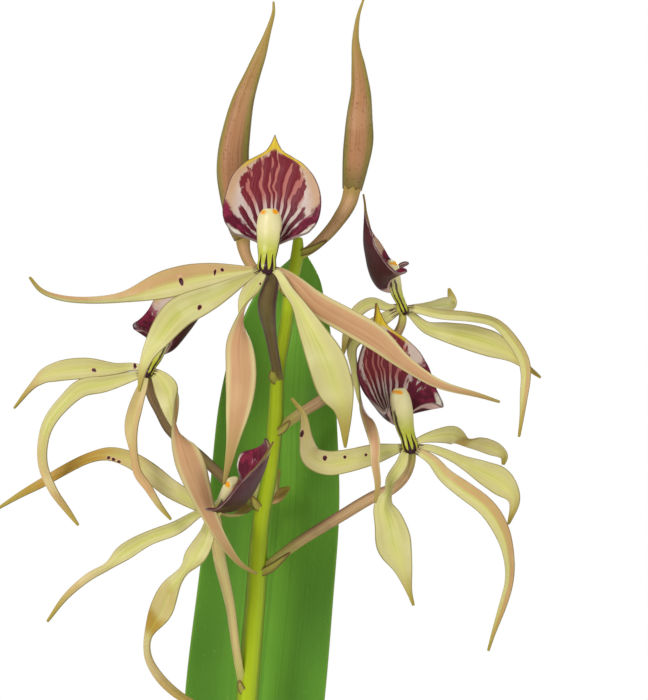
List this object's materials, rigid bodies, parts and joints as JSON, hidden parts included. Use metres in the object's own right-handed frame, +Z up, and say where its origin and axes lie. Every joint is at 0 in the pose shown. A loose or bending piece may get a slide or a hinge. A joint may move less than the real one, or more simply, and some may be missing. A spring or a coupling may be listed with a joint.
{
  "type": "potted cockleshell orchid",
  "caption": "Potted orchid with spidery pale flowers, striped shell lips held uppermost and long buds on one stem over strap leaves, in a plain terracotta pot.",
  "frame": {"origin": "centre of the pot's flat underside", "axes": "+Z up, +X to the right of the flower spray, -Y the side that the flowers face"},
  "size_m": [0.3052, 0.2567, 0.4563],
  "materials": {
    "terracotta": "unglazed terracotta",
    "bark": "coarse bark chips",
    "root": null,
    "bulb": null,
    "leaf": null,
    "sheath": "dry papery sheath",
    "scape": null,
    "pedicel": null,
    "bud": null,
    "tepal": null,
    "lip": null,
    "column": null
  },
  "bodies": {
    "root": {"pot": "terracotta", "bark_medium": "bark", "rhizome": "root", "pseudobulb_1": "bulb", "pseudobulb_2": "bulb", "pseudobulb_3": "bulb", "pseudobulb_4": "bulb", "pseudobulb_5": "bulb", "leaf_1": "leaf", "leaf_2": "leaf", "leaf_3": "leaf", "leaf_4": "leaf", "leaf_5": "leaf", "leaf_6": "leaf", "leaf_7": "leaf", "leaf_8": "leaf", "leaf_9": "leaf", "scape": "scape", "scape_sheath": "sheath", "bloom_a_pedicel": "pedicel", "bloom_a_tepals": "tepal", "bloom_a_lip": "lip", "bloom_a_column": "column", "bloom_b_pedicel": "pedicel", "bloom_b_tepals": "tepal", "bloom_b_lip": "lip", "bloom_b_column": "column", "bloom_c_pedicel": "pedicel", "bloom_c_tepals": "tepal", "bloom_c_lip": "lip", "bloom_c_column": "column", "bloom_d_pedicel": "pedicel", "bloom_d_tepals": "tepal", "bloom_d_lip": "lip", "bloom_d_column": "column", "bloom_e_pedicel": "pedicel", "bloom_e_tepals": "tepal", "bloom_e_lip": "lip", "bloom_e_column": "column", "bud_left": "bud", "bud_left_pedicel": "pedicel", "bud_right": "bud", "bud_right_pedicel": "pedicel"}
  },
  "joints": []
}
